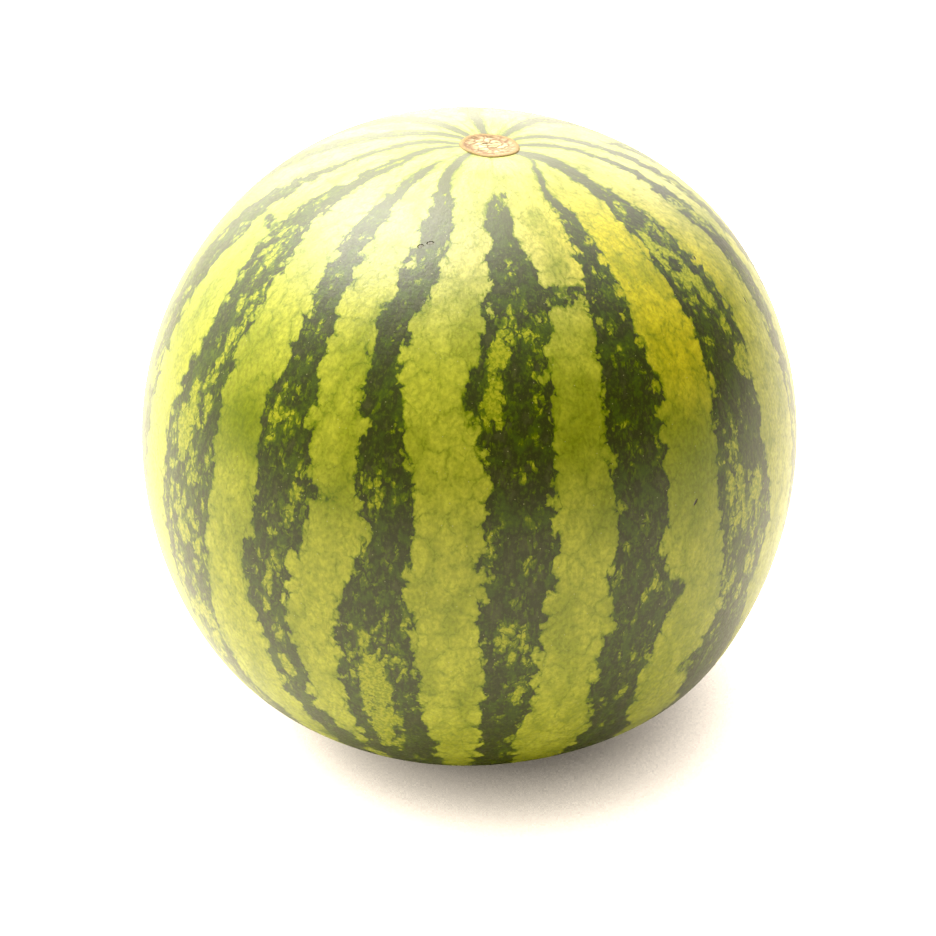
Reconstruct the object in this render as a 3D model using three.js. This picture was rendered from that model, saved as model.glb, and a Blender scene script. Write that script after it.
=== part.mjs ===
// A whole, round, striped watermelon. It stands on its blossom end with the stem scar on top.
// Millimetres, +Z up. The small flat spot that it rests on lies in the plane z = 0.
// The fruit grew as one piece, so it is one closed solid: body, stem hollow and stem scar.

import * as THREE from 'three';

// Body: a sphere, flattened a little at both ends and fuller at the shoulders between
const EQUATOR_RADIUS = 120;
const POLE_FLATTENING = 0.027;
const SHOULDER_FULLNESS = 0.033;
const AXIS_LEAN = 3.3; // degrees, the stem end leans towards +X

// Stem end: a broad shallow hollow with a low disc of cork in it, where the stalk broke off
const STEM_HOLLOW_DEPTH = 1.6;
const STEM_HOLLOW_RADIUS = 26;
const SCAR_RADIUS = 10.8;
const SCAR_RIM_WIDTH = 2.2;
const SCAR_RIM_HEIGHT = 1.0;
const SCAR_BOWL_DEPTH = 0.9;

// Resting spot: how much of the lowest skin lies pressed flat
const FLAT_SPOT_DEPTH = 1.6;

// Unevenness of the body. Each swelling is a place on the skin, in degrees down from the top
// and round from the front (-Y) towards +X, with its height and its spread in degrees.
const SWELLINGS = [
  { down: 23, round: 180, height: 0.8, spread: 20 },
  { down: 52, round: -105, height: -1.5, spread: 20 },
  { down: 86, round: -83, height: 0.6, spread: 18 },
  { down: 125, round: -51, height: 0.9, spread: 18 },
  { down: 140, round: 12, height: -0.7, spread: 16 },
  { down: 125, round: 51, height: 1.4, spread: 14 },
  { down: 64, round: 96, height: -1.2, spread: 20 },
];

// Fineness of the solid
const MERIDIANS = 60;
const BODY_RINGS = 34;
const HOLLOW_RINGS = 3;

const RIND_COLOUR = '#8d9c3a';
const RIND_ROUGHNESS = 0.42;

const degrees = THREE.MathUtils.degToRad;

// Distance of the skin from the body's centre, at an angle down from the stem end
function bodyRadius(angle) {
  const flattening = POLE_FLATTENING * Math.cos(angle) ** 2;
  const fullness = SHOULDER_FULLNESS * Math.sin(2 * angle) ** 2;
  return EQUATOR_RADIUS * (1 - flattening + fullness);
}

// A profile point on the skin: x is the distance from the axis, y is the height
function skinPoint(angle) {
  const radius = bodyRadius(angle);
  const across = radius * Math.sin(angle);
  const inHollow = Math.max(0, 1 - across / STEM_HOLLOW_RADIUS);
  const depth = angle < Math.PI / 2 ? STEM_HOLLOW_DEPTH * THREE.MathUtils.smoothstep(inHollow, 0, 1) : 0;
  return new THREE.Vector2(across, radius * Math.cos(angle) - depth);
}

// The cork disc, from its foot in the skin over its rim to its sunken middle
function scarProfile() {
  const foot = skinPoint(Math.asin(SCAR_RADIUS / bodyRadius(0)));
  const rimTop = foot.y + SCAR_RIM_HEIGHT;
  const rimInside = SCAR_RADIUS - SCAR_RIM_WIDTH;
  return [
    foot,
    new THREE.Vector2(SCAR_RADIUS - 0.25 * SCAR_RIM_WIDTH, rimTop),
    new THREE.Vector2(SCAR_RADIUS - 0.6 * SCAR_RIM_WIDTH, rimTop),
    new THREE.Vector2(rimInside, rimTop - 0.5 * SCAR_BOWL_DEPTH),
    new THREE.Vector2(0.45 * rimInside, rimTop - SCAR_BOWL_DEPTH),
    new THREE.Vector2(0, rimTop - 0.8 * SCAR_BOWL_DEPTH),
  ];
}

// The skin from the blossom end up to the edge of the scar, with closer rings in the stem hollow
function skinProfile() {
  const scarAngle = Math.asin(SCAR_RADIUS / bodyRadius(0));
  const hollowAngle = Math.asin(STEM_HOLLOW_RADIUS / bodyRadius(0));
  const points = [new THREE.Vector2(0, -bodyRadius(Math.PI))];
  for (let ring = 1; ring <= BODY_RINGS; ring++) {
    points.push(skinPoint(THREE.MathUtils.lerp(Math.PI, hollowAngle, ring / BODY_RINGS)));
  }
  for (let ring = 1; ring < HOLLOW_RINGS; ring++) {
    points.push(skinPoint(THREE.MathUtils.lerp(hollowAngle, scarAngle, ring / HOLLOW_RINGS)));
  }
  return points;
}

// Unit vector towards a place on the skin
function directionTo(down, round) {
  return new THREE.Vector3(
    Math.sin(degrees(down)) * Math.sin(degrees(round)),
    -Math.sin(degrees(down)) * Math.cos(degrees(round)),
    Math.cos(degrees(down)),
  );
}

// Pushes each vertex out or in along its own direction, by all the swellings near it
function addSwellings(geometry) {
  const swellings = SWELLINGS.map((s) => ({
    centre: directionTo(s.down, s.round),
    height: s.height,
    width: 1 - Math.cos(degrees(s.spread)),
  }));
  const position = geometry.attributes.position;
  const vertex = new THREE.Vector3();
  const outward = new THREE.Vector3();
  for (let i = 0; i < position.count; i++) {
    vertex.fromBufferAttribute(position, i);
    outward.copy(vertex).normalize();
    for (const { centre, height, width } of swellings) {
      vertex.addScaledVector(outward, height * Math.exp((outward.dot(centre) - 1) / width));
    }
    position.setXYZ(i, vertex.x, vertex.y, vertex.z);
  }
}

// Presses the lowest skin up into one plane
function flattenRestingSpot(geometry) {
  geometry.computeBoundingBox();
  const plane = geometry.boundingBox.min.z + FLAT_SPOT_DEPTH;
  const position = geometry.attributes.position;
  for (let i = 0; i < position.count; i++) {
    position.setZ(i, Math.max(position.getZ(i), plane));
  }
}

function makeWatermelon() {
  const geometry = new THREE.LatheGeometry([...skinProfile(), ...scarProfile()], MERIDIANS);
  geometry.rotateX(Math.PI / 2);
  geometry.rotateY(degrees(AXIS_LEAN));
  addSwellings(geometry);
  flattenRestingSpot(geometry);
  geometry.computeVertexNormals();
  geometry.computeBoundingBox();

  const material = new THREE.MeshStandardMaterial({
    color: RIND_COLOUR,
    roughness: RIND_ROUGHNESS,
    metalness: 0,
  });
  const watermelon = new THREE.Mesh(geometry, material);
  watermelon.name = 'watermelon';

  // the middle of the bounding box's underside comes to the origin
  const box = geometry.boundingBox;
  watermelon.position.set(-(box.min.x + box.max.x) / 2, -(box.min.y + box.max.y) / 2, -box.min.z);
  return watermelon;
}

const part = new THREE.Group();
part.add(makeWatermelon());

export default part;
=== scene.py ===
"""A whole round watermelon: striped waxy rind and corky stem scar, on a pale studio floor.

Metres, +Z up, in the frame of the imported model. Places on the skin are given in degrees: "down"
from the stem end, and "round" from the front (-Y) towards +X.
"""

import math

import bpy
import numpy as np
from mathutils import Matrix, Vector, noise


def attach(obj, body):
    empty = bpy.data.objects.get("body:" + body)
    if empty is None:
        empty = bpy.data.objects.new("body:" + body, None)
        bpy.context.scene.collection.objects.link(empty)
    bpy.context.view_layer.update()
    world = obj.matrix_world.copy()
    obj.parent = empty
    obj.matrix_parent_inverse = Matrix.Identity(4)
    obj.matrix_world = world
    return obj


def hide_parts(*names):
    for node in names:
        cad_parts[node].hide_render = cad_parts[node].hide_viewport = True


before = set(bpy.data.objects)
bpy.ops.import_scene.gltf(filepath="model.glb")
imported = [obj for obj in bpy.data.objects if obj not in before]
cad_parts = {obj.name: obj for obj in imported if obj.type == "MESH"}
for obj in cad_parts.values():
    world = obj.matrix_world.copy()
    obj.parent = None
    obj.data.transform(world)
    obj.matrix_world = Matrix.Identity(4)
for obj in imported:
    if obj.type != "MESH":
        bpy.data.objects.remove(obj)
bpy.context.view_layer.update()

MM = 0.001

# --- body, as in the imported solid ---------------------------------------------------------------
EQUATOR_RADIUS = 120 * MM
POLE_FLATTENING = 0.027
SHOULDER_FULLNESS = 0.033
AXIS_LEAN = 3.3
STEM_HOLLOW_DEPTH = 1.6 * MM
STEM_HOLLOW_RADIUS = 26 * MM
FLAT_SPOT_DEPTH = 1.6 * MM
FLAT_SPOT_SOFTNESS = 0.4 * MM

# --- corky scar left by the stem, and the seat that it fills in the skin -------------------------
SCAR_RADIUS = 10.5 * MM
SCAR_RIM_HEIGHT = 0.8 * MM
SCAR_SEAT_DEPTH = 1.5 * MM
SCAR_SEAT_EDGE = 9.5 * MM
SCAR_SEAT_SLOPE = 1.5 * MM
SCAR_FOOT_DEPTH = 2.4 * MM
SCAR_RINGS = 46
SCAR_AROUND = 180

# Where the scar's parts lie, as shares of its radius, 0 being its centre and 1 its edge
SCAR_FLOOR_END, SCAR_FLOOR_SOFTNESS = 0.82, 0.14
SCAR_CRACKS_END = 0.84
SCAR_RIM_START, SCAR_RIM_WIDTH = 0.72, 0.34
SCAR_SKIRT_START, SCAR_SKIRT_WIDTH = 0.97, 0.08
SCAR_END = 1.05

# Waves of the scar's edge: (share of the radius, waves around, turn in radians)
SCAR_EDGE_WAVES = [(0.025, 2, 0.6), (0.018, 5, 2.0)]

# The scar's floor with its lumps, and the cork plates and the cracks between them. The bend of the
# cracks and their width are shares of a plate's size
CORK_LEVEL = 0.25 * MM
CORK_LUMPS, CORK_LUMP_SIZE = 0.18 * MM, 2.2 * MM
PLATE_SIZE = 3 * MM
PLATE_STRETCH = 1.5
PLATE_BEND = 0.5
CRACK_WIDTH = 0.16
CRACK_DEPTH = 0.30 * MM

# The seed that bends the cracks. Without one, Blender's vector noise takes its seed from the clock
CRACK_SEED = 1795356115

# The slit where the stem's core broke off
PIT_X, PIT_Y = -0.8 * MM, 2.0 * MM
PIT_HALF_LENGTH, PIT_HALF_WIDTH = 1.5 * MM, 0.45 * MM
PIT_SLANT = 0.35
PIT_DEPTH = 0.45 * MM

# The groove inside the rim, how evenly high, wrinkled and lumpy the rim is, how fine its wrinkles
# and lumps are around the scar, and how far its skirt goes down
SCAR_GROOVE_DEPTH = 0.10 * MM
RIM_LEVEL, RIM_WRINKLE, RIM_LUMP = 0.86, 0.12, 0.14
WRINKLE_FINENESS, LUMP_FINENESS = 9, 2
SCAR_SKIRT_DROP = 1.6 * MM

# Low swellings of the skin: (down, round, height, spread)
SWELLINGS = [
    (23, 180, 0.8 * MM, 20),
    (52, -105, -1.5 * MM, 20),
    (86, -83, 0.6 * MM, 18),
    (125, -51, 0.9 * MM, 18),
    (140, 12, -0.7 * MM, 16),
    (125, 51, 1.4 * MM, 14),
    (64, 96, -1.2 * MM, 20),
]

# Fineness of the skin mesh. The rings lie closer together down to STEM_RINGS_END degrees
MERIDIANS = 480
STEM_RINGS = 24
STEM_RINGS_END = 14.0
BODY_RINGS = 172

# The mesh's two end points lie this many degrees from the poles
POLE_GAP = 0.001

# --- stripes ------------------------------------------------------------------------------------
# One list per stripe, with a (down, middle, width, lace) row wherever its course or width changes.
# Lace is how much pale skin shows through, from 0, solid, to 1, mostly islands. A negative width
# is a place that the stripe doesn't reach
FRONT_STRIPES = [
    [(5, -118, 10, 0.2), (12, -110, 9, 0.2), (25, -106, 8, 0.3), (35, -107, 10, 0.5),
     (60, -109, 10, 0.5), (90, -108, 11, 0.6), (120, -104, 10, 0.5), (170, -100, 12, 0.3)],
    [(6, -91, 8, 0.2), (12, -91, 6, 0.2), (20, -85.5, 3, 0.1), (27, -82.5, 2.5, 0.1),
     (34, -83, 8, 0.4), (45, -82, 11, 0.5), (60, -80, 10, 0.5), (80, -79, 12, 0.6),
     (100, -79, 11, 0.7), (125, -72, 10, 0.6), (170, -66, 12, 0.3)],
    [(6, -79, 6, 0.2), (12, -72, 7, 0.2), (17, -67, 8, 0.6), (25, -64.5, 6, 0.4), (35, -63, 9, 0.6),
     (44, -59.5, 13, 0.8), (52, -57, 10, 0.6), (62, -56.5, 11, 0.6), (76, -56, 15, 0.8),
     (90, -55.5, 14, 0.7), (105, -54, 11, 0.9), (118, -50, 10, 0.7), (126, -41, 9, 0.4),
     (170, -36, 12, 0.2)],
    [(10, -48, -3, 0.3), (14, -46.5, 5, 0.4), (24, -43, 6, 0.3), (34, -39.5, 8, 0.4),
     (44, -37, 7, 0.3), (55, -35.5, 7.5, 0.35), (66, -35, 11, 0.8), (72, -33, 10, 0.8),
     (82, -33, 9, 0.7), (90, -35, 9, 0.7), (97, -34.5, 6, 0.6), (106, -31.5, 6.5, 0.5),
     (116, -30, 6, 0.3), (125, -24, 6, 0.2), (170, -22, 9, 0.2)],
    [(5, -42, 9, 0.1), (10, -34, 9, 0.1), (15, -29, 7, 0.1), (22, -19.5, 10, 0.3),
     (34, -17.8, 9.5, 0.2), (45, -20, 7, 0.15), (55, -18.6, 6, 0.1), (63, -16.5, 7.5, 0.3),
     (70, -15, 9.5, 0.7), (77, -14, 6.5, 0.5), (84, -14.8, 8, 0.7), (93, -15, 11.5, 0.9),
     (100, -14.6, 12.5, 0.6), (110, -14.3, 13, 0.3), (126, -11, 14, 0.1), (170, -6, 12, 0.2)],
    [(16, 2.5, -4, 0.3), (20, 2.8, 7, 0.8), (25, 4, 8.5, 0.3), (33, 6, 11, 0.3),
     (38, 7.5, 15, 0.5), (46, 6, 13.5, 0.5), (52, 5, 14, 0.7), (59, 5.3, 14, 0.5),
     (66, 6.9, 10.5, 0.1), (79, 6.8, 12.5, 0.35), (86, 7, 10, 0.35), (91, 6.2, 9.5, 0.5),
     (100, 7.3, 8.5, 0.35), (110, 6.6, 8, 0.3), (120, 6.4, 5.5, 0.1), (127, 7.5, 8, 0.1),
     (170, 10, 12, 0.2)],
    [(8, 58, 4, 0.1), (11, 42, 4, 0.3), (15, 34.5, 4, 0.4), (18, 31, 2, 0.3), (23, 32, 6, 0.4),
     (30, 31, 5.5, 0.15), (37, 29.5, 9, 0.2), (46, 28.6, 9, 0.05), (56, 28.4, 11.5, 0.05),
     (63, 27.6, 11, 0.05), (75, 28, 9, 0.1), (84, 26.8, 10, 0.2), (90, 29.3, 11, 0.45),
     (97, 27, 10, 0.35), (108, 26.6, 10, 0.35), (116, 28, 7.5, 0.15), (123, 29.5, 12, 0.1),
     (170, 30, 12, 0.2)],
    [(7, 66, 16, 0.1), (12, 64, 14, 0.1), (17, 60.5, 10, 0.3), (26, 57.5, 10.5, 0.7),
     (36, 56.6, 13.5, 0.6), (48, 55.3, 13.5, 0.6), (55, 55, 14, 0.5), (62, 52, 13, 0.3),
     (73, 50.8, 14, 0.8), (87, 52.3, 14, 1.1), (97, 51, 9, 0.6), (106, 50.5, 14, 0.4),
     (118, 51, 11, 0.3), (170, 50, 12, 0.2)],
    [(6, 100, 10, 0.1), (13, 97.5, 5, 0.1), (22, 92.5, 4, 0.1), (29, 86.5, 7, 0.4),
     (36, 83, 8, 0.6), (48, 80.6, 8, 0.5), (60, 77, 5.5, 0.4), (75, 75.5, 5.5, 0.6),
     (100, 74.5, 8, 0.9), (125, 73, 10, 0.5), (170, 70, 12, 0.2)],
    [(6, 125, 8, 0.1), (18, 110, 6, 0.1), (30, 102, 7, 0.3), (45, 94.5, 7, 0.4), (70, 95, 8, 0.7),
     (100, 97, 10, 0.7), (130, 95, 10, 0.4), (170, 92, 12, 0.2)],
]

# The photograph shows nothing of the back but three stripes' upper ends, so its stripes grow from
# a seed. Each has a middle near the stem, or None if it starts lower, and a middle further down
BACK_STRIPES = [(None, 118), (150, 140), (None, 162), (191, 184), (None, 207), (225, 230)]
BACK_SEED = 7
BACK_ROWS = range(30, 130, 12)
BACK_WANDER = 2
BACK_NARROW, BACK_WIDE = 7.5, 13
BACK_SOLID, BACK_BROKEN = 0.1, 0.8

# Netted dark skin outside the stripes' own outlines: (down, round, half length, half width), all
# in degrees
NETTED_BLOTS = [
    (38.5, 19, 2.2, 7), (39.5, -72, 1.2, 7), (73, -27, 1.5, 4), (127.5, -18, 2, 14),
    (54, -1, 5, 3), (89, 34, 3, 3), (108, 44, 3, 4), (17.5, 7, 1.5, 2),
]

# Places inside the stripes where pale skin shows through most, in the same way
OPEN_BLOTS = [
    (109, -15, 9, 2.3), (119, -13, 7, 3.2), (78, -19, 4, 2.2), (58, 60, 3, 4), (42, 58, 6, 1.3),
    (35, 54, 3, 3), (47, 2.8, 2.5, 1.6), (54.5, 2, 2, 1.6), (75, -57.5, 5, 2), (20, -66.5, 4, 1.2),
]

# The millimetres over which a blot fades out, and how much lace an open one adds
NETTED_FADE = 5
OPEN_FADE = 4
OPEN_LACE = 1.2

# A stripe depth that every real one is above, in millimetres
FAR_OUTSIDE = -99.0

# How wide the pattern's cylinder is at the fruit's ends, as a share of its width at the middle
PATTERN_END_WIDTH = 0.35

# --- colours, as linear red, green and blue -----------------------------------------------------
PALE = (0.262, 0.277, 0.026)
# PALE_TOP_PAINTED_HIGHLIGHT is a painted highlight: the pale skin's lighter, creamier colour near the
# stem
PALE_TOP_PAINTED_HIGHLIGHT = (0.290, 0.285, 0.085)
PALE_GREEN = (0.112, 0.139, 0.005)
PALE_YELLOW = (0.33, 0.30, 0.012)
PALE_CREAM = (0.42, 0.36, 0.15)
VEIN = (0.084, 0.120, 0.004)
EDGE_GREEN = (0.060, 0.088, 0.005)
DARK = (0.024, 0.028, 0.010)
DARK_GREEN = (0.035, 0.052, 0.009)
DARK_GREY = (0.044, 0.048, 0.018)
# DARK_TOP_PAINTED_HIGHLIGHT is a painted highlight: the dark skin's paler, greyer colour near the
# stem
DARK_TOP_PAINTED_HIGHLIGHT = (0.060, 0.066, 0.032)
ISLAND = (0.235, 0.245, 0.016)
# SPECK_AND_PAINTED_GLINT colours the small pale dots: the skin's lenticels, and painted glints
SPECK_AND_PAINTED_GLINT = (0.34, 0.33, 0.16)
NICK = (0.030, 0.026, 0.010)
BLOSSOM = (0.150, 0.085, 0.035)
BLOSSOM_RING = (0.36, 0.32, 0.12)
CORK_RIM = (0.175, 0.112, 0.034)
CORK_SKIRT = (0.13, 0.10, 0.018)
CORK_TAN = (0.22, 0.152, 0.076)
CORK_CREAM = (0.36, 0.31, 0.17)
CORK_CRACK = (0.12, 0.060, 0.022)
CORK_PIT = (0.018, 0.010, 0.006)

# Patches of another ground colour: (down, round, spread, strength). The field spot, where the
# fruit lay, is at full strength
# One patch, at 96 down and 42 round, is painted shade that darkens the lower right of the front
GREEN_PATCHES_AND_PAINTED_SHADE = [
    (67, -44, 7, 1.0), (72, -25, 8, 0.3), (68, 40, 11, 0.8), (68, 21, 8, 0.35), (57, 18, 6, 0.5),
    (96, 42, 18, 0.3), (70, 180, 75, 0.6),
]
YELLOW_PATCHES = [(36, 43, 12, 0.8), (51, 42, 9, 0.8), (42, 58, 10, 0.8), (23, 40, 12, 0.5)]
FIELD_SPOT = (92, 108, 32)

# Small healed nicks: (down, round, tilt from level in degrees, half length, half width)
NICKS = [
    (30.9, -21.0, 40, 1.0 * MM, 0.75 * MM),
    (29.9, -18.5, 18, 1.2 * MM, 0.65 * MM),
    (74.7, 38.5, 45, 1.3 * MM, 0.48 * MM),
    (51.0, 71.0, 80, 1.2 * MM, 0.40 * MM),
    (40.0, 64.0, 60, 0.8 * MM, 0.45 * MM),
    (66.0, 158.0, 25, 1.3 * MM, 0.40 * MM),
    (95.0, -140.0, 70, 1.0 * MM, 0.40 * MM),
]

# --- the rind's pattern -------------------------------------------------------------------------
# The skin's cells in millimetres, whose borders shape the veins and the stripes' edges. Heights are
# multiplied by CELL_STRETCH before the cells are laid out, which makes them taller than wide
WIDE_CELL = 8
NARROW_CELL = 3.3
CELL_STRETCH = 0.78

# A stripe's edge: how strongly it wanders, how lobed, toothed and ragged it is, and the distances
# from the stem between which it grows from its calmest to its full roughness. Then the reach of the
# netted skin. Reaches, shifts and distances are millimetres
EDGE_WANDER = 7.5
EDGE_LOBES, EDGE_LOBE_REACH, EDGE_LOBE_SHIFT = 1.5, 2.4, 1.6
EDGE_TEETH, EDGE_TOOTH_REACH, EDGE_TOOTH_SHIFT = 1.1, 1.0, 0.15
EDGE_RAG = 3.0
CALM_NEAR, CALM_FAR, CALMEST = 16, 72, 0.12
NET_LEAST, NET_MOST, NET_SHIFT = 2.4, 4.4, 2.3

# Islands of pale skin in the stripes: sizes in millimetres, how much each part counts, and the
# level that the sum must pass, which is higher along the stripe's brim
ISLAND_SIZE, ISLAND_WEIGHT = 3.4, 0.9
STRING_SIZE, STRING_WEIGHT = 10, 0.8
LACE_WEIGHT = 0.26
ISLAND_LEVEL, ISLAND_BRIM = 0.635, 0.20

# Half widths of the veins, in millimetres
WIDE_VEIN, NARROW_VEIN, SOFT_VEIN = 0.85, 0.50, 2.2

# Small pale dots, lenticels and painted glints, and the blossom end's scar and ring, in millimetres
DOT_SPACING, DOT_EDGE, DOT_CORE = 3.2, 0.26, 0.14
BLOSSOM_RADIUS, BLOSSOM_SOFTNESS, BLOSSOM_RAG = 3.8, 0.8, 5
RING_INNER, RING_OUTER = 7.0, 11.0

# The surface: bump heights, the nicks' depth as a multiple of the rind's own, and the roughness
# from the smoothest to the roughest places
RIND_BUMP = 0.15 * MM
NICK_DEPTH = 3.0
RIND_SMOOTHEST, RIND_ROUGHEST = 0.34, 0.42
RIND_SHINE = 0.34
CORK_BUMP = 0.12 * MM
CORK_SMOOTHEST, CORK_ROUGHEST = 0.62, 0.8


def directions(down, round_):
    """Unit vectors towards places on the skin, before the axis leans."""
    down, round_ = np.radians(down), np.radians(round_)
    across = np.sin(down)
    return np.stack([across * np.sin(round_), -across * np.cos(round_), np.cos(down)], axis=-1)


def lean(points):
    """Turns points about Y, so that the stem end leans towards +X."""
    c, s = math.cos(math.radians(AXIS_LEAN)), math.sin(math.radians(AXIS_LEAN))
    turn = np.array([[c, 0, s], [0, 1, 0], [-s, 0, c]])
    return points @ turn.T


def smooth(t):
    """Goes smoothly from 0 to 1 as t does."""
    t = np.clip(t, 0, 1)
    return t * t * (3 - 2 * t)


def near(down, round_, place):
    """How near skin places are to one place: 1 there, falling off over its spread in degrees."""
    centre = directions(np.array(place[0]), np.array(place[1]))
    cosine = directions(down, round_) @ centre
    return np.exp((cosine - 1) / (1 - math.cos(math.radians(place[2]))))


def patches(down, round_, places):
    """How strongly a list of patches covers the skin, from 0 to 1."""
    cover = sum(near(down, round_, place) * place[3] for place in places)
    return np.clip(cover, 0, 1)


def body_radius(down):
    """Distance from the body's centre to its skin, before the hollow and the swellings."""
    flattening = POLE_FLATTENING * np.cos(np.radians(down)) ** 2
    fullness = SHOULDER_FULLNESS * np.sin(2 * np.radians(down)) ** 2
    return EQUATOR_RADIUS * (1 - flattening + fullness)


def skin_points(down, round_):
    """The smooth skin around the body's own centre, without the flat spot."""
    radius = body_radius(down)
    points = directions(down, round_) * radius[..., None]
    across = radius * np.sin(np.radians(down))
    hollow = STEM_HOLLOW_DEPTH * smooth(1 - across / STEM_HOLLOW_RADIUS)
    hollow = hollow + SCAR_SEAT_DEPTH * smooth((SCAR_SEAT_EDGE - across) / SCAR_SEAT_SLOPE)
    points[..., 2] -= np.where(down < 90, hollow, 0)
    points = lean(points)
    outward = points / np.linalg.norm(points, axis=-1, keepdims=True)
    for place_down, place_round, height, spread in SWELLINGS:
        centre = directions(np.array(place_down), np.array(place_round))
        width = 1 - math.cos(math.radians(spread))
        points = points + outward * (height * np.exp((outward @ centre - 1) / width))[..., None]
    return points


def flatten_spot(points):
    """Presses the lowest skin up to one plane, with a soft edge."""
    plane = points[..., 2].min() + FLAT_SPOT_DEPTH
    above = points[..., 2] - plane
    points[..., 2] = plane + (above + np.sqrt(above ** 2 + FLAT_SPOT_SOFTNESS ** 2)) / 2
    return points


# --- the skin mesh -------------------------------------------------------------------------------
def ring_angles():
    """Degrees down from the stem end of each ring of the skin mesh."""
    stem = np.linspace(0, STEM_RINGS_END, STEM_RINGS + 1)[1:]
    body = np.linspace(STEM_RINGS_END, 180, BODY_RINGS + 1)[1:-1]
    return np.concatenate([stem, body])


def closed_grid(name, rings, top, bottom):
    """A closed mesh from rings of points, top ring first, with a point at each end."""
    count, around = len(rings), rings.shape[1]
    points = np.concatenate([rings.reshape(-1, 3), [top], [bottom]])
    top_index, bottom_index = count * around, count * around + 1
    faces = []
    for j in range(around):
        k = (j + 1) % around
        faces.append((top_index, j, k))
        last = (count - 1) * around
        faces.append((bottom_index, last + k, last + j))
    for i in range(count - 1):
        for j in range(around):
            k = (j + 1) % around
            faces.append((i * around + j, (i + 1) * around + j, (i + 1) * around + k, i * around + k))
    mesh = bpy.data.meshes.new(name)
    mesh.from_pydata(points.tolist(), [], faces)
    mesh.polygons.foreach_set("use_smooth", [True] * len(mesh.polygons))
    mesh.update()
    piece = bpy.data.objects.new(name, mesh)
    bpy.context.scene.collection.objects.link(piece)
    return piece


def store(mesh, name, values):
    """Keeps one number or vector per point of the mesh, for its material to read."""
    kind = "FLOAT" if values.ndim == 1 else "FLOAT_VECTOR"
    key = "value" if kind == "FLOAT" else "vector"
    layer = mesh.attributes.new(name, kind, "POINT")
    layer.data.foreach_set(key, values.astype(np.float32).ravel())


# --- stripes on the skin -------------------------------------------------------------------------
def back_stripe(at_stem, middle, random):
    """A stripe like the front ones, with a seeded course, width and lace."""
    if at_stem is None:
        rows = [(20, middle, -4, 0.1)]
    else:
        rows = [(6, at_stem, 10, 0.1), (16, at_stem, 9, 0.2)]
    for down in BACK_ROWS:
        width = random.uniform(BACK_NARROW, BACK_WIDE)
        wander = random.uniform(-BACK_WANDER, BACK_WANDER)
        rows.append((down, middle + wander, width, random.uniform(BACK_SOLID, BACK_BROKEN)))
    rows.append((140, middle, 9, 0.3))
    rows.append((170, middle, 12, 0.2))
    return rows


def blot_depth(down, round_, blot):
    """Millimetres inside an oval patch of skin, negative outside it."""
    centre_down, centre_round, half_down, half_round = blot
    along = (down - centre_down) / half_down
    over = (round_ - centre_round + 180) % 360 - 180
    half_mm = min(half_down, half_round * math.sin(math.radians(centre_down)))
    size = half_mm * math.radians(1) * EQUATOR_RADIUS / MM
    return (1 - np.hypot(along, over / half_round)) * size


def stripe_fields(down, round_):
    """For each place: millimetres inside the nearest stripe, negative outside, and its lace."""
    random = np.random.default_rng(BACK_SEED)
    stripes = FRONT_STRIPES + [back_stripe(*middles, random) for middles in BACK_STRIPES]
    mm_per_degree = EQUATOR_RADIUS / MM * math.radians(1) * np.sin(np.radians(down))
    depth = np.full(down.shape, FAR_OUTSIDE)
    lace = np.zeros(down.shape)
    for rows in stripes:
        at, middle, width, broken = np.array(rows, dtype=float).T
        aside = (round_ - np.interp(down, at, middle) + 180) % 360 - 180
        inside = (np.interp(down, at, width) / 2 - np.abs(aside)) * mm_per_degree
        lace = np.where(inside > depth, np.interp(down, at, broken), lace)
        depth = np.maximum(depth, inside)
    for blot in OPEN_BLOTS:
        lace = lace + OPEN_LACE * smooth(0.5 + blot_depth(down, round_, blot) / OPEN_FADE)
    return depth, lace


def netted(down, round_):
    """How strongly a dark net covers the pale skin, from 0 to 1."""
    cover = np.zeros(down.shape)
    for blot in NETTED_BLOTS:
        cover = np.maximum(cover, smooth(0.5 + blot_depth(down, round_, blot) / NETTED_FADE))
    return cover


def pattern_place(down, round_):
    """Places on an upright cylinder that narrows towards both ends, so that the rind's pattern
    runs along the fruit, joins up behind it and gets finer towards the stem."""
    share = PATTERN_END_WIDTH + (1 - PATTERN_END_WIDTH) * np.sin(np.radians(down))
    radius = EQUATOR_RADIUS * share
    turn = np.radians(round_)
    height = EQUATOR_RADIUS * np.radians(90 - down)
    return np.stack([radius * np.sin(turn), -radius * np.cos(turn), height], axis=-1)


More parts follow.
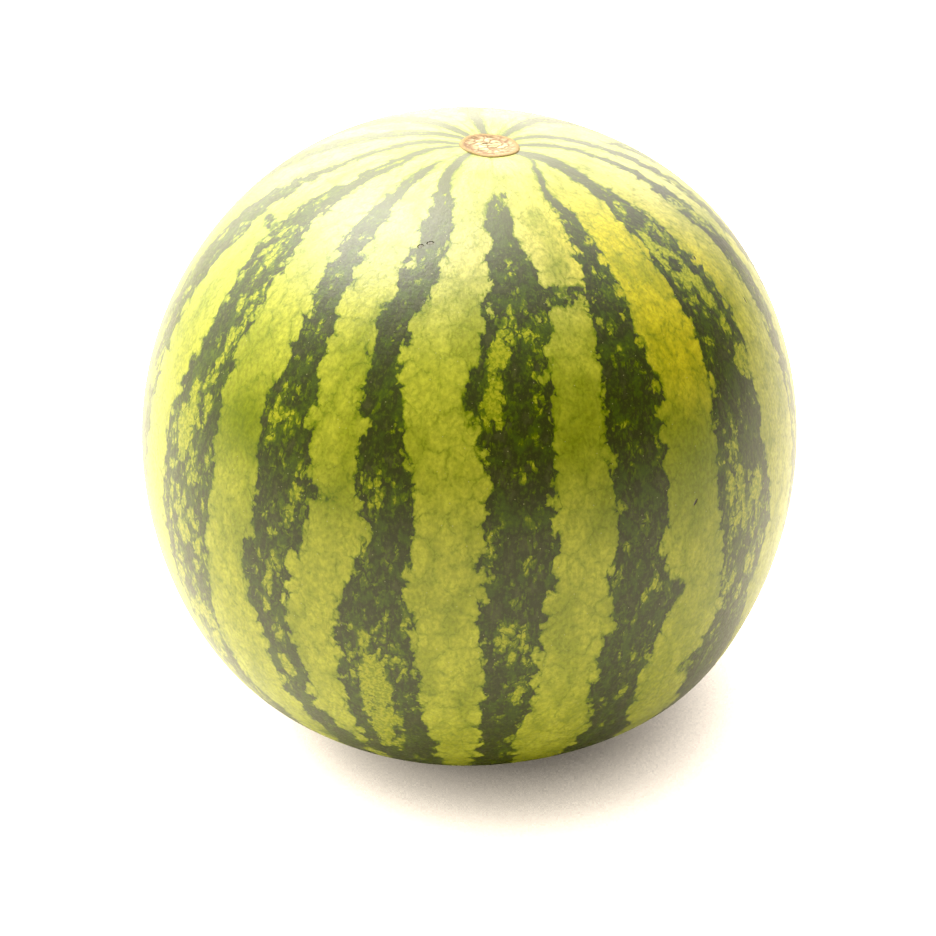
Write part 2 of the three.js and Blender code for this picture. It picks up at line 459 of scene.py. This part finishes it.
def make_rind():
    """The skin, resting on the floor and centred over the origin, with what its material reads. Also
    returns where the body's centre ended up."""
    down = ring_angles()
    round_ = np.arange(MERIDIANS) * 360 / MERIDIANS - 180
    downs, rounds = np.meshgrid(down, round_, indexing="ij")
    downs = np.append(downs.ravel(), [POLE_GAP, 180 - POLE_GAP])
    rounds = np.append(rounds.ravel(), [0, 0])
    points = flatten_spot(skin_points(downs, rounds))
    low, high = points.min(axis=0), points.max(axis=0)
    centre = np.array([-(low[0] + high[0]) / 2, -(low[1] + high[1]) / 2, -low[2]])
    points += centre
    rings = points[:-2].reshape(len(down), MERIDIANS, 3)
    rind = closed_grid("rind", rings, points[-2], points[-1])
    depth, lace = stripe_fields(downs, rounds)
    store(rind.data, "stripe_depth", depth)
    store(rind.data, "stripe_lace", lace)
    store(rind.data, "netted", netted(downs, rounds))
    store(rind.data, "skin_place", points)
    store(rind.data, "pattern_place", pattern_place(downs, rounds))
    store(rind.data, "green_patch", patches(downs, rounds, GREEN_PATCHES_AND_PAINTED_SHADE))
    store(rind.data, "yellow_patch", patches(downs, rounds, YELLOW_PATCHES))
    store(rind.data, "field_spot", near(downs, rounds, FIELD_SPOT))
    size = EQUATOR_RADIUS / MM
    store(rind.data, "stem_distance", np.sin(np.radians(np.minimum(downs, 90))) * size)
    store(rind.data, "blossom_distance", np.sin(np.radians(np.minimum(180 - downs, 90))) * size)
    return rind, centre


# --- stem scar -----------------------------------------------------------------------------------
def scar_outline(angle):
    """The scar's edge, a little out of round."""
    waves = sum(height * math.cos(count * angle + turn) for height, count, turn in SCAR_EDGE_WAVES)
    return SCAR_RADIUS * (1 + waves)


def scar_crack(x, y):
    """How deep in a crack a place on the scar is, from 0 to 1. Cracks run between cork plates."""
    bend = noise.noise_vector(Vector((x, y, 4)) / PLATE_SIZE) * PLATE_BEND
    plates = noise.voronoi(Vector((x, y * PLATE_STRETCH, 0)) / PLATE_SIZE + bend)[0]
    return math.exp(-((plates[1] - plates[0]) / CRACK_WIDTH) ** 2)


def scar_pit(x, y):
    """The dark slit where the stem's core broke off."""
    x, y = x - PIT_X, y - PIT_Y
    along = (x + PIT_SLANT * y) / PIT_HALF_LENGTH
    over = (y - PIT_SLANT * x) / PIT_HALF_WIDTH
    return math.exp(-along ** 4 - over ** 2)


def noise_around(angle, fineness, level):
    """Noise that joins up around the scar, read at one level of the noise field."""
    return noise.noise(Vector((math.cos(angle) * fineness, math.sin(angle) * fineness, level)))


def scar_height(across, angle, x, y):
    """Height over the skin of one place on the scar, across being 0 at its centre and 1 at its edge:
    a cracked floor, a groove, a wrinkled rim and a skirt that goes down into the skin."""
    inner = float(smooth(np.array((SCAR_FLOOR_END - across) / SCAR_FLOOR_SOFTNESS)))
    lumps = CORK_LUMPS * noise.noise(Vector((x, y, 9)) / CORK_LUMP_SIZE)
    cuts = CRACK_DEPTH * scar_crack(x, y) + PIT_DEPTH * scar_pit(x, y)
    floor = CORK_LEVEL + lumps - cuts
    over_rim = min(1.0, max(0.0, (across - SCAR_RIM_START) / SCAR_RIM_WIDTH))
    bulge = math.sin(math.pi * over_rim)
    wrinkle = noise_around(angle, WRINKLE_FINENESS, across * 3)
    lump = noise_around(angle, LUMP_FINENESS, 5)
    rim = SCAR_RIM_HEIGHT * bulge * (RIM_LEVEL + RIM_WRINKLE * wrinkle + RIM_LUMP * lump)
    skirt = SCAR_SKIRT_DROP * max(0.0, across - SCAR_SKIRT_START) / SCAR_SKIRT_WIDTH
    return floor * inner + rim - SCAR_GROOVE_DEPTH * (1 - inner) - skirt


def make_stem_scar(centre):
    """The corky disc that fills the seat in the skin, with what its material reads."""
    noise.seed_set(CRACK_SEED)
    top = skin_points(np.array([POLE_GAP]), np.array([0.0]))[0] + centre
    top = top + lean(np.array([0, 0, SCAR_SEAT_DEPTH]))
    rings, across_values, cracks, pits = [], [], [], []
    for across in np.linspace(0, SCAR_END, SCAR_RINGS + 1)[1:]:
        ring = []
        for step in range(SCAR_AROUND):
            angle = 2 * math.pi * step / SCAR_AROUND
            x = across * scar_outline(angle) * math.cos(angle)
            y = across * scar_outline(angle) * math.sin(angle)
            ring.append((x, y, scar_height(across, angle, x, y)))
            across_values.append(across)
            cracks.append(scar_crack(x, y) if across < SCAR_CRACKS_END else 0.0)
            pits.append(scar_pit(x, y))
        rings.append(ring)
    rings = lean(np.array(rings)) + top
    middle = lean(np.array([0, 0, scar_height(0, 0, 0, 0)])) + top
    foot = lean(np.array([0, 0, -SCAR_FOOT_DEPTH])) + top
    scar = closed_grid("stem_scar", rings, middle, foot)
    store(scar.data, "scar_across", np.array(across_values + [0, 1]))
    store(scar.data, "scar_crack", np.array(cracks + [0, 0]))
    store(scar.data, "scar_pit", np.array(pits + [0, 0]))
    store(scar.data, "skin_place", np.concatenate([rings.reshape(-1, 3), [middle], [foot]]))
    return scar


# --- materials -----------------------------------------------------------------------------------
class Graph:
    """Makes and links the nodes of one material or world. A value may be a number, a colour or a
    socket."""

    def __init__(self, owner):
        owner.use_nodes = True
        self.owner = owner
        self.tree = owner.node_tree
        self.tree.nodes.clear()

    def put(self, socket, value):
        """Links a socket to an input, or sets the input to a value."""
        if isinstance(value, bpy.types.NodeSocket):
            self.tree.links.new(value, socket)
        elif isinstance(value, tuple) and len(value) == 3 and socket.type == "RGBA":
            socket.default_value = (*value, 1)
        else:
            socket.default_value = value

    def node(self, kind, inputs=(), **settings):
        """A new node. Inputs go by name or number, settings by the names of its properties."""
        node = self.tree.nodes.new(kind)
        for key, value in settings.items():
            setattr(node, key, value)
        for key, value in dict(inputs).items():
            self.put(node.inputs[key], value)
        return node

    def math(self, operation, a, b=0.0, clamp=False):
        node = self.node("ShaderNodeMath", {0: a, 1: b}, operation=operation, use_clamp=clamp)
        return node.outputs[0]

    def add(self, a, b):
        return self.math("ADD", a, b)

    def times(self, a, b):
        return self.math("MULTIPLY", a, b)

    def attribute(self, name, output="Fac"):
        return self.node("ShaderNodeAttribute", attribute_name=name).outputs[output]

    def step(self, value, low, high, to_low=0.0, to_high=1.0):
        """Goes smoothly from to_low to to_high as the value goes from low to high."""
        inputs = {"Value": value, "From Min": low, "From Max": high, "To Min": to_low,
                  "To Max": to_high}
        return self.node("ShaderNodeMapRange", inputs, interpolation_type="SMOOTHSTEP").outputs[0]

    def scaled(self, vector, scale):
        inputs = {0: vector, 1: (scale if isinstance(scale, tuple) else (scale,) * 3)}
        return self.node("ShaderNodeVectorMath", inputs, operation="MULTIPLY").outputs[0]

    def noise(self, vector, size, detail=2.0, roughness=0.5, output="Fac"):
        """Soft noise from 0 to 1 whose blobs are about size metres across."""
        inputs = {"Vector": vector, "Scale": 1 / size, "Detail": detail, "Roughness": roughness}
        return self.node("ShaderNodeTexNoise", inputs).outputs[output]

    def warped(self, vector, size, amount, detail=2.0):
        """The vector, shifted about by up to roughly amount metres."""
        colour = self.noise(vector, size, detail, 0.6, "Color")
        centred = self.node("ShaderNodeVectorMath", {0: colour, 1: (0.5, 0.5, 0.5)},
                            operation="SUBTRACT").outputs[0]
        inputs = {0: self.scaled(centred, 2 * amount), 1: vector}
        return self.node("ShaderNodeVectorMath", inputs, operation="ADD").outputs[0]

    def centred_noise(self, vector, size, detail=2.0, roughness=0.5):
        """Noise about zero, mostly within 0.25 of it."""
        return self.math("SUBTRACT", self.noise(vector, size, detail, roughness), 0.5)

    def cell_centre(self, vector, size):
        """Distance to the nearest of random cell centres, in cell sizes."""
        inputs = {"Vector": vector, "Scale": 1 / size}
        return self.node("ShaderNodeTexVoronoi", inputs, feature="F1").outputs["Distance"]

    def cell_border(self, vector, size):
        """Distance to the nearest border between random cells, in cell sizes."""
        inputs = {"Vector": vector, "Scale": 1 / size}
        cells = self.node("ShaderNodeTexVoronoi", inputs, feature="DISTANCE_TO_EDGE")
        return cells.outputs["Distance"]

    def dot(self, vector, direction):
        """The vector's component along a direction, over that direction's own length."""
        inputs = {0: vector, 1: tuple(direction)}
        return self.node("ShaderNodeVectorMath", inputs, operation="DOT_PRODUCT").outputs["Value"]

    def shade(self, colour, brightness):
        """The colour times a brightness."""
        inputs = {0: colour, "Scale": brightness}
        return self.node("ShaderNodeVectorMath", inputs, operation="SCALE").outputs[0]

    def mix(self, share, a, b):
        """Colour a where the share is 0, colour b where it is 1."""
        inputs = {"Factor": share, 6: a, 7: b}
        return self.node("ShaderNodeMix", inputs, data_type="RGBA").outputs[2]

    def finish(self, colour, roughness, height, bump_distance, **constants):
        """Ends a material: a surface with a bump and some of its inputs set to constants."""
        bump = self.node("ShaderNodeBump", {"Height": height, "Distance": bump_distance})
        inputs = {"Base Color": colour, "Roughness": roughness, "Normal": bump.outputs[0]}
        surface = self.node("ShaderNodeBsdfPrincipled", inputs)
        for key, value in constants.items():
            surface.inputs[key.replace("_", " ")].default_value = value
        self.node("ShaderNodeOutputMaterial", {"Surface": surface.outputs[0]})
        return self.owner


def cell_borders(g, along):
    """Millimetres to the crooked borders of the skin's wide cells and of its narrow ones."""
    crooked = g.warped(g.warped(along, 5 * MM, 2.6 * MM), 1.8 * MM, 1.0 * MM, 3.0)
    wide = g.times(g.cell_border(crooked, WIDE_CELL * MM), WIDE_CELL)
    narrow = g.times(g.cell_border(crooked, NARROW_CELL * MM), NARROW_CELL)
    return wide, narrow


def stripe_edge(g, place, along, wide, narrow):
    """Millimetres inside a stripe once its edge is lobed and ragged. Whole cells of pale skin push
    in as round lobes and dark teeth reach out between them, less so close to the stem."""
    wander = g.times(g.centred_noise(along, 8 * MM, 3.0, 0.6), EDGE_WANDER)
    lobe = g.math("MINIMUM", wide, EDGE_LOBE_REACH)
    lobes = g.add(g.times(lobe, -EDGE_LOBES), EDGE_LOBE_SHIFT)
    tooth = g.math("MINIMUM", narrow, EDGE_TOOTH_REACH)
    teeth = g.add(g.times(tooth, -EDGE_TEETH), EDGE_TOOTH_SHIFT)
    rag = g.times(g.centred_noise(place, 1.5 * MM, 4.0, 0.65), EDGE_RAG)
    rough = g.add(g.add(wander, lobes), g.add(teeth, rag))
    calm = g.step(g.attribute("stem_distance"), CALM_NEAR, CALM_FAR, CALMEST, 1.0)
    edge = g.add(g.attribute("stripe_depth"), g.times(rough, calm))
    reach = g.step(g.noise(along, 4 * MM, 3.0), 0.36, 0.62, NET_LEAST, NET_MOST)
    net = g.add(g.times(g.attribute("netted"), reach), -NET_SHIFT)
    return g.math("MAXIMUM", edge, g.math("SUBTRACT", net, narrow))


def island_field(g, place, depth, wide, narrow):
    """How far a place inside a stripe is into an island of pale skin: 0 at its green brim, up to
    about 0.1 in its middle. Islands are upright, come in strings and grow with the lace, and the
    borders of the narrow cells part them."""
    tall = g.scaled(g.warped(place, 3 * MM, 0.8 * MM), (1, 1, 0.45))
    isle = g.times(g.noise(tall, ISLAND_SIZE * MM, 4.0, 0.62), ISLAND_WEIGHT)
    taller = g.scaled(place, (1, 1, 0.4))
    string = g.times(g.centred_noise(taller, STRING_SIZE * MM, 2.0), STRING_WEIGHT)
    lace = g.times(g.attribute("stripe_lace"), LACE_WEIGHT)
    parted = g.step(narrow, 0.0, 0.6, -0.10, 0.025)
    round_ = g.step(wide, 0.2, 2.2, -0.11, 0.05)
    level = g.add(g.add(isle, g.add(string, lace)), g.add(round_, parted))
    brim = g.step(depth, 0.3, 2.0, ISLAND_BRIM, 0.0)
    return g.math("SUBTRACT", level, g.add(ISLAND_LEVEL, brim))


def veins(g, place, along, wide, narrow, nearby):
    """Green lines along the cells' borders, from 0 to 1, broken up here and there. They are strong
    where they run out of a stripe, nearby being 1 at its edge."""
    patchy = g.noise(along, 6 * MM, 3.0)
    fray = g.step(g.noise(place, 1.2 * MM, 2.0), 0.30, 0.54, 0.30, 1.0)
    spur = g.times(nearby, g.step(patchy, 0.54, 0.40, 0.10, 0.75))
    strength = g.math("MAXIMUM", g.step(patchy, 0.44, 0.60, 0.08, 0.66), spur)
    line = g.times(g.step(wide, WIDE_VEIN, 0.05), strength)
    thin = g.times(g.step(narrow, NARROW_VEIN, 0.0), g.step(patchy, 0.62, 0.40, 0.08, 0.36))
    soft = g.times(g.step(wide, SOFT_VEIN, 0.2), g.step(patchy, 0.36, 0.64, 0.04, 0.34))
    return g.math("MAXIMUM", g.times(g.math("MAXIMUM", line, thin), fray), soft)


def pale_skin(g, place, along, depth, wide, narrow):
    """Pale skin with its patches, clouds, grain and veins, and the green fringe of the stripes."""
    # Greener patches of the skin's own colour, and one of painted shade low on the right
    ground = g.mix(g.attribute("green_patch"), PALE, PALE_GREEN)
    ground = g.mix(g.times(g.attribute("field_spot"), 0.9), ground, PALE_CREAM)
    # Painted highlight: the pale skin turns lighter and creamier towards the stem, where the light's
    # haze falls
    top = g.step(g.attribute("stem_distance"), 96, 56)
    ground = g.mix(top, ground, PALE_TOP_PAINTED_HIGHLIGHT)
    ground = g.mix(g.attribute("yellow_patch"), ground, PALE_YELLOW)
    cloud = g.noise(g.scaled(place, (1, 1, 0.45)), 11 * MM, 3.0)
    ground = g.mix(g.step(cloud, 0.42, 0.68, 0.0, 0.52), ground, PALE_GREEN)
    grain = g.noise(g.scaled(place, (1, 1, 0.75)), 1.3 * MM, 3.0, 0.6)
    ground = g.shade(ground, g.step(grain, 0.28, 0.72, 0.80, 1.20))
    nearby = g.step(depth, -6.0, -0.6)
    vein = veins(g, place, along, wide, narrow, nearby)
    ground = g.mix(vein, ground, g.mix(nearby, VEIN, EDGE_GREEN))
    fringe = g.step(grain, 0.38, 0.56, 0.25, 0.9)
    ground = g.mix(g.times(g.step(depth, -2.0, -0.2), fringe), ground, VEIN)
    return g.mix(g.times(g.step(depth, -0.9, 0.1), fringe), ground, EDGE_GREEN)


def dark_skin(g, place):
    """Dark green skin, clouded with fresher green and with grey, and finely mottled and streaked."""
    cloud = g.noise(g.scaled(place, (1, 1, 0.6)), 5 * MM, 4.0, 0.65)
    skin = g.mix(g.step(cloud, 0.46, 0.62), DARK, DARK_GREEN)
    skin = g.mix(g.step(cloud, 0.48, 0.33, 0.0, 0.8), skin, DARK_GREY)
    mottle = g.noise(place, 1.3 * MM, 3.0, 0.6)
    streak = g.noise(g.scaled(place, (1, 1, 0.22)), 0.9 * MM, 2.0)
    fleck = g.step(g.add(g.times(mottle, 0.6), g.times(streak, 0.4)), 0.49, 0.66, 0.0, 0.6)
    skin = g.mix(fleck, skin, EDGE_GREEN)
    skin = g.mix(g.step(mottle, 0.48, 0.28, 0.0, 0.6), skin, DARK)
    # Painted highlight: the dark skin turns paler and greyer towards the stem
    return g.mix(g.step(g.attribute("stem_distance"), 74, 30, 0.0, 0.75), skin, DARK_TOP_PAINTED_HIGHLIGHT)


def nick_cover(g, nick, centre):
    """1 on one small nick, 0 off it, measured in the skin's own plane there."""
    down, round_, tilt, half_length, half_width = nick
    outward = directions(np.array(down), np.array(round_))
    level = np.array([math.cos(math.radians(round_)), math.sin(math.radians(round_)), 0])
    upward = np.cross(outward, level)
    c, s = math.cos(math.radians(tilt)), math.sin(math.radians(tilt))
    long_way = (c * level + s * upward) / half_length
    short_way = (c * upward - s * level) / half_width
    spot = skin_points(np.array([float(down)]), np.array([float(round_)]))[0] + centre
    offset = g.node("ShaderNodeVectorMath", {0: g.attribute("skin_place", "Vector"), 1: tuple(spot)},
                    operation="SUBTRACT").outputs[0]
    parts = [g.dot(offset, way) for way in (long_way, short_way, outward / (6 * MM))]
    squares = [g.times(part, part) for part in parts]
    return g.step(g.add(g.add(squares[0], squares[1]), squares[2]), 1.3, 0.5)


def striped_skin(g, place):
    """Pale skin, and over it the dark stripes with their islands, paler on the field spot."""
    along = g.scaled(place, (1, 1, CELL_STRETCH))
    wide, narrow = cell_borders(g, along)
    depth = stripe_edge(g, place, along, wide, narrow)
    island = island_field(g, place, depth, wide, narrow)
    pale = pale_skin(g, place, along, depth, wide, narrow)
    stripe = dark_skin(g, place)
    stripe = g.mix(g.step(island, -0.13, -0.01, 0.0, 0.9), stripe, EDGE_GREEN)
    fill = g.mix(g.step(g.noise(place, 1.3 * MM, 3.0, 0.6), 0.40, 0.60, 0.0, 0.75), ISLAND, VEIN)
    stripe = g.mix(g.step(island, -0.04, 0.09), stripe, fill)
    fade = g.step(g.attribute("field_spot"), 0.2, 1.0, 1.0, 0.55)
    dark = g.step(depth, -0.4, 0.4)
    return g.mix(g.times(dark, fade), pale, stripe)


def dotted(g, place, colour):
    """The colour with small pale dots on it: the skin's lenticels, and painted glints."""
    dots = g.times(g.cell_centre(place, DOT_SPACING * MM), DOT_SPACING)
    return g.mix(g.step(dots, DOT_EDGE, DOT_CORE, 0.0, 0.40), colour, SPECK_AND_PAINTED_GLINT)


def with_blossom_end(g, place, colour):
    """The colour with the brown scar of the blossom at the lower end, and a pale ring round it."""
    rag = g.times(g.centred_noise(place, 3 * MM), BLOSSOM_RAG)
    distance = g.add(g.attribute("blossom_distance"), rag)
    colour = g.mix(g.step(distance, RING_OUTER, RING_INNER, 0.0, 0.8), colour, BLOSSOM_RING)
    edge = BLOSSOM_RADIUS + BLOSSOM_SOFTNESS
    return g.mix(g.step(distance, edge, BLOSSOM_RADIUS), colour, BLOSSOM)


def rind_material(centre):
    """Striped, glossy skin with pale dots that are partly painted glints, nicks, a blossom end and
    fine pitting.
    """
    g = Graph(bpy.data.materials.new("rind"))
    place = g.attribute("pattern_place", "Vector")
    colour = dotted(g, place, striped_skin(g, place))
    colour = with_blossom_end(g, place, colour)
    nicks = 0.0
    for nick in NICKS:
        nicks = g.add(nicks, nick_cover(g, nick, centre))
    colour = g.mix(nicks, colour, NICK)

    peel = g.noise(place, 1.1 * MM, 2.0)
    dents = g.noise(place, 6 * MM, 2.0)
    height = g.add(g.times(peel, 0.35), g.times(dents, 0.65))
    height = g.math("SUBTRACT", height, g.times(nicks, NICK_DEPTH))
    roughness = g.step(peel, 0.3, 0.7, RIND_SMOOTHEST, RIND_ROUGHEST)
    return g.finish(colour, roughness, height, RIND_BUMP, IOR=1.42, Specular_IOR_Level=RIND_SHINE)


def cork_material():
    """Dry cork: cream in the middle, tan and then brown towards the rim, dark in cracks and slit."""
    g = Graph(bpy.data.materials.new("cork"))
    place = g.attribute("skin_place", "Vector")
    across = g.attribute("scar_across")
    crack = g.attribute("scar_crack")
    fibre = g.noise(place, 0.7 * MM, 4.0, 0.65)
    blotch = g.noise(place, 2.6 * MM, 3.0)
    patchy_across = g.add(across, g.times(g.math("SUBTRACT", blotch, 0.5), 0.9))
    colour = g.mix(g.step(patchy_across, 0.40, 0.72), CORK_CREAM, CORK_TAN)
    colour = g.mix(g.step(across, 0.76, 0.88), colour, CORK_RIM)
    colour = g.mix(g.step(across, 0.93, 1.0), colour, CORK_SKIRT)
    colour = g.shade(colour, g.step(fibre, 0.25, 0.75, 0.68, 1.32))
    colour = g.mix(g.times(crack, 0.9), colour, CORK_CRACK)
    colour = g.mix(g.attribute("scar_pit"), colour, CORK_PIT)
    roughness = g.step(fibre, 0.3, 0.7, CORK_SMOOTHEST, CORK_ROUGHEST)
    return g.finish(colour, roughness, fibre, CORK_BUMP, IOR=1.45)


# --- stage ---------------------------------------------------------------------------------------
# The photograph's floor is over-exposed. FLOOR_WHITE is what lights the fruit. The camera sees
# FLOOR_SHOWN, and over it a glow that fades where the fruit hides the sky within SKY_REACH. The
# floor looks for the sky along SKY_SIDE, tilted away from the shade on the right
# The glow is painted light that only the camera sees, and where it fades round the fruit it is
# painted shade
FLOOR_WHITE = (0.94, 0.90, 0.78)
FLOOR_SHOWN = (0.15, 0.145, 0.15)
FLOOR_PAINTED_GLOW = (6.9, 6.15, 5.1)
FLOOR_HALF_WIDTH = 6.0
SKY_SIDE = (-0.32, 0.0, 0.95)
SKY_REACH = 1.0
SKY_RAYS = 8
SKY_CONTRAST = 2.3


def make_floor():
    """A plain pale floor under a painted glow, brightest where it sees most of the sky, which paints
    the shade round the fruit.
    """
    mesh = bpy.data.meshes.new("floor")
    half = FLOOR_HALF_WIDTH
    mesh.from_pydata([(-half, -half, 0), (half, -half, 0), (half, half, 0), (-half, half, 0)], [],
                     [(0, 1, 2, 3)])
    floor = bpy.data.objects.new("floor", mesh)
    bpy.context.scene.collection.objects.link(floor)
    g = Graph(bpy.data.materials.new("floor"))
    seen = g.node("ShaderNodeLightPath").outputs["Is Camera Ray"]
    colour = g.mix(seen, FLOOR_WHITE, FLOOR_SHOWN)
    cloth = g.node("ShaderNodeBsdfDiffuse", {"Color": colour}).outputs[0]
    side = g.node("ShaderNodeCombineXYZ", dict(enumerate(SKY_SIDE))).outputs[0]
    inputs = {"Normal": side, "Distance": SKY_REACH}
    open_sky = g.node("ShaderNodeAmbientOcclusion", inputs, samples=SKY_RAYS).outputs["AO"]
    strength = g.times(seen, g.math("POWER", open_sky, SKY_CONTRAST))
    glow = g.node("ShaderNodeEmission", {"Color": FLOOR_PAINTED_GLOW, "Strength": strength}).outputs[0]
    surface = g.node("ShaderNodeAddShader", {0: cloth, 1: glow})
    g.node("ShaderNodeOutputMaterial", {"Surface": surface.outputs[0]})
    mesh.materials.append(g.owner)


WORLD_BRIGHT_SIDE = (-0.22, 0.72, 0.66)
WORLD_BRIGHT = 6.8
WORLD_DIM = 0.08
WORLD_DIM_BELOW = 0.20
WORLD_WARM = (0.975, 0.925, 0.76)
WORLD_GREYER = (0.65, 0.57, 0.67)
TO_THE_RIGHT = (1, 0, 0)
GREYER_FROM, GREYER_TO = -0.1, 0.7
WHITE = (1, 1, 1)


def make_world():
    """A pale studio, bright overhead and behind the fruit, dim towards the front, and greyer on the
    right. What the camera sees of it past the floor is plain white."""
    world = bpy.data.worlds.new("studio")
    g = Graph(world)
    where = g.node("ShaderNodeTexCoord").outputs["Generated"]
    brightness = g.dot(where, WORLD_BRIGHT_SIDE)
    level = g.step(brightness, WORLD_DIM_BELOW, 1.0, WORLD_DIM, WORLD_BRIGHT)
    rightness = g.dot(where, TO_THE_RIGHT)
    tint = g.mix(g.step(rightness, GREYER_FROM, GREYER_TO), WORLD_WARM, WORLD_GREYER)
    seen = g.node("ShaderNodeLightPath").outputs["Is Camera Ray"]
    strength = g.add(g.times(level, g.math("SUBTRACT", 1.0, seen)), seen)
    inputs = {"Color": g.mix(seen, tint, WHITE), "Strength": strength}
    background = g.node("ShaderNodeBackground", inputs)
    g.node("ShaderNodeOutputWorld", {"Surface": background.outputs[0]})
    bpy.context.scene.world = world


LAMP_WARM = (1.0, 0.97, 0.87)
LAMP_PLACE = Vector((-0.40, 0.35, 1.17))
LAMP_TARGET = Vector((0, 0, 0.12))
LAMP_SIZE = 0.9
LAMP_POWER = 36.5


def make_lamp():
    """One wide, soft, warm lamp above the fruit, a little to the left and behind."""
    light = bpy.data.lights.new("key", "AREA")
    light.shape = "DISK"
    light.size = LAMP_SIZE
    light.energy = LAMP_POWER
    light.color = LAMP_WARM
    lamp = bpy.data.objects.new("key", light)
    lamp.location = LAMP_PLACE
    lamp.rotation_euler = (LAMP_TARGET - LAMP_PLACE).to_track_quat("-Z", "Y").to_euler()
    bpy.context.scene.collection.objects.link(lamp)


CAMERA_ELEVATION = 31.0
CAMERA_DISTANCE = 7 * EQUATOR_RADIUS
CAMERA_AIM = Vector((-0.8 * MM, 0, -14.1 * MM))
CAMERA_LENS = 86.4
CAMERA_SENSOR = 36
VIEW_BLACK = 0.01


def make_camera(centre):
    """The camera at the photograph's angle, aimed a little below the fruit's centre."""
    camera = bpy.data.cameras.new("camera")
    camera.lens = CAMERA_LENS
    camera.sensor_width = CAMERA_SENSOR
    viewer = bpy.data.objects.new("camera", camera)
    tilt = math.radians(CAMERA_ELEVATION)
    back = Vector((0, -math.cos(tilt), math.sin(tilt)))
    viewer.location = Vector(centre) + CAMERA_AIM + back * CAMERA_DISTANCE
    viewer.rotation_euler = back.to_track_quat("Z", "Y").to_euler()
    bpy.context.scene.collection.objects.link(viewer)
    bpy.context.scene.camera = viewer


def set_view():
    """Plain colours, with the photograph's slightly deeper blacks."""
    view = bpy.context.scene.view_settings
    view.view_transform = "Standard"
    view.use_curve_mapping = True
    view.curve_mapping.black_level = (VIEW_BLACK,) * 3
    view.curve_mapping.update()


rind, centre = make_rind()
rind.data.materials.append(rind_material(centre))
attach(rind, "root")
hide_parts("watermelon")

stem_scar = make_stem_scar(centre)
stem_scar.data.materials.append(cork_material())
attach(stem_scar, "root")

make_floor()
make_world()
make_lamp()
make_camera(centre)
set_view()
